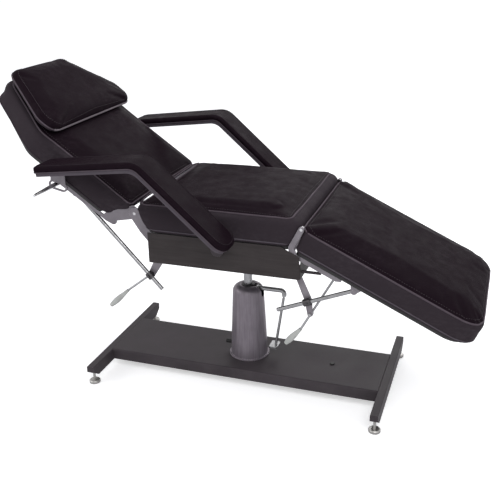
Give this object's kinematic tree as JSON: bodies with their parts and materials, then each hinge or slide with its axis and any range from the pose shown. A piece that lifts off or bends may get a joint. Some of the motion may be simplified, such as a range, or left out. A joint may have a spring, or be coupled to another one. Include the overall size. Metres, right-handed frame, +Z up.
{
  "type": "tattoo chair",
  "caption": "Upholstered tattoo client chair with a reclining back, head pillow, leg rest, two linked armrests and a foot pump on a low plate base.",
  "frame": {"origin": "on the floor under the middle of the whole couch, in the posture of the picture", "axes": "+X towards the foot end, +Y towards the far side, +Z up"},
  "size_m": [1.7562, 0.872, 1.1639],
  "materials": {
    "vinyl_dark": "satin, fine grain",
    "board_black": "matt black paint",
    "frame_dark": "satin",
    "skirt_dark": "satin",
    "pump_grey": "metallic satin",
    "steel_plain": "satin",
    "chrome_bright": "polished",
    "grip_light": "gloss",
    "plastic_black": "matt",
    "rubber_black": "matt"
  },
  "bodies": {
    "base": {"base_plate": "frame_dark", "plate_plug": "plastic_black", "crossbar_head": "frame_dark", "crossbar_foot": "frame_dark", "pump_cover": "pump_grey", "pump_cylinder": "steel_plain", "lever_pivot_pin": "steel_plain", "pump_bolts": "steel_plain", "release_stub": "plastic_black"},
    "head_near_foot": {"foot_head_near": "rubber_black"},
    "head_far_foot": {"foot_head_far": "rubber_black"},
    "foot_near_foot": {"foot_foot_near": "rubber_black"},
    "foot_far_foot": {"foot_foot_far": "rubber_black"},
    "pump_lever": {"pump_lever": "frame_dark"},
    "pedal": {"pedal_rod": "steel_plain", "foot_tread": "chrome_bright"},
    "seat": {"lift_column": "chrome_bright", "seat_beams": "frame_dark", "seat_rails": "frame_dark", "column_bolts": "steel_plain", "skirt": "skirt_dark", "seat_board": "board_black", "seat_cushion": "vinyl_dark", "back_hinge_plates": "pump_grey", "leg_hinge_plates": "pump_grey", "back_hinge_pins": "chrome_bright", "leg_hinge_pins": "chrome_bright", "back_bracket": "pump_grey", "leg_bracket": "pump_grey", "stop_bar": "frame_dark", "arm_mounts": "frame_dark", "arm_pins": "chrome_bright"},
    "backrest": {"back_board": "board_black", "back_cushion": "vinyl_dark", "pillow": "vinyl_dark", "back_hinge_arms": "pump_grey", "back_lug": "pump_grey", "arm_rod": "chrome_bright", "arm_rod_lugs": "frame_dark"},
    "leg_rest": {"leg_board": "board_black", "leg_cushion": "vinyl_dark", "leg_hinge_arms": "pump_grey", "leg_lug": "pump_grey"},
    "back_strut": {"back_strut": "chrome_bright"},
    "leg_strut": {"leg_strut": "chrome_bright"},
    "back_clamp": {"back_clamp": "steel_plain"},
    "leg_clamp": {"leg_clamp": "steel_plain"},
    "back_lever": {"back_lever": "steel_plain", "back_grip": "grip_light"},
    "leg_lever": {"leg_lever": "steel_plain", "leg_grip": "grip_light"},
    "near_arm": {"near_arm_pad": "vinyl_dark", "near_arm_board": "board_black", "near_arm_pivot_plate": "pump_grey", "near_arm_hanger": "pump_grey"},
    "far_arm": {"far_arm_pad": "vinyl_dark", "far_arm_board": "board_black", "far_arm_pivot_plate": "pump_grey", "far_arm_hanger": "pump_grey"}
  },
  "joints": [
    {"name": "head_near_foot_turn", "type": "hinge", "parent": "base", "child": "head_near_foot", "pos_m": [-0.5275, -0.267, 0], "axis": [0, 0, 1], "continuous": true},
    {"name": "head_far_foot_turn", "type": "hinge", "parent": "base", "child": "head_far_foot", "pos_m": [-0.5275, 0.267, 0], "axis": [0, 0, 1], "continuous": true},
    {"name": "foot_near_foot_turn", "type": "hinge", "parent": "base", "child": "foot_near_foot", "pos_m": [0.5555, -0.267, 0], "axis": [0, 0, 1], "continuous": true},
    {"name": "foot_far_foot_turn", "type": "hinge", "parent": "base", "child": "foot_far_foot", "pos_m": [0.5555, 0.267, 0], "axis": [0, 0, 1], "continuous": true},
    {"name": "seat_lift", "type": "slide", "parent": "base", "child": "seat", "axis": [0, 0, 1], "range_m": [-0.15, 0.03]},
    {"name": "lever_pump", "type": "hinge", "parent": "base", "child": "pump_lever", "pos_m": [0.051, 0, 0.358], "axis": [0, 1, 0], "range_deg": [0, 15], "stiffness_Nm_per_rad": 12, "springref_deg": -11.46},
    {"name": "pedal_hang", "type": "hinge", "parent": "pump_lever", "child": "pedal", "pos_m": [0.156, 0, 0.344], "axis": [0, 1, 0], "range_deg": [-15, 0]},
    {"name": "back_recline", "type": "hinge", "parent": "seat", "child": "backrest", "pos_m": [-0.292, 0, 0.714], "axis": [0, 1, 0], "range_deg": [-36, 24]},
    {"name": "back_strut_turn", "type": "hinge", "parent": "backrest", "child": "back_strut", "pos_m": [-0.52498, -0.256, 0.76213], "axis": [0, 1, 0], "range_deg": [-12, 18]},
    {"name": "back_clamp_turn", "type": "hinge", "parent": "seat", "child": "back_clamp", "pos_m": [-0.262, -0.256, 0.478], "axis": [0, 1, 0], "range_deg": [-18, 12]},
    {"name": "back_lever_squeeze", "type": "hinge", "parent": "back_clamp", "child": "back_lever", "pos_m": [-0.262, -0.256, 0.478], "axis": [0, 1, 0], "range_deg": [0, 15], "stiffness_Nm_per_rad": 2, "springref_deg": -22.92},
    {"name": "leg_recline", "type": "hinge", "parent": "seat", "child": "leg_rest", "pos_m": [0.295, 0, 0.715], "axis": [0, -1, 0], "range_deg": [0, 25]},
    {"name": "leg_strut_turn", "type": "hinge", "parent": "leg_rest", "child": "leg_strut", "pos_m": [0.46709, -0.256, 0.51548], "axis": [0, -1, 0], "range_deg": [-12.5, 0]},
    {"name": "leg_clamp_turn", "type": "hinge", "parent": "seat", "child": "leg_clamp", "pos_m": [0.311, -0.256, 0.452], "axis": [0, -1, 0], "range_deg": [0, 12.5]},
    {"name": "leg_lever_squeeze", "type": "hinge", "parent": "seat", "child": "leg_lever", "pos_m": [0.317, -0.256, 0.401], "axis": [0, 1, 0], "range_deg": [0, 12], "stiffness_Nm_per_rad": 2, "springref_deg": -22.92},
    {"name": "near_arm_turn", "type": "hinge", "parent": "seat", "child": "near_arm", "pos_m": [0.011, 0, 0.672], "axis": [0, 1, 0], "range_deg": [-17.69, 11.79]},
    {"name": "far_arm_turn", "type": "hinge", "parent": "seat", "child": "far_arm", "pos_m": [0.011, 0, 0.672], "axis": [0, 1, 0], "range_deg": [-17.69, 11.79]}
  ],
  "couplings": [
    {"joint": "pedal_hang", "follows": "lever_pump", "ratio": -1},
    {"joint": "back_strut_turn", "follows": "back_recline", "ratio": -0.5},
    {"joint": "back_clamp_turn", "follows": "back_recline", "ratio": 0.5},
    {"joint": "leg_strut_turn", "follows": "leg_recline", "ratio": -0.5},
    {"joint": "leg_clamp_turn", "follows": "leg_recline", "ratio": 0.5},
    {"joint": "near_arm_turn", "follows": "back_recline", "ratio": 0.4914},
    {"joint": "far_arm_turn", "follows": "back_recline", "ratio": 0.4914}
  ]
}
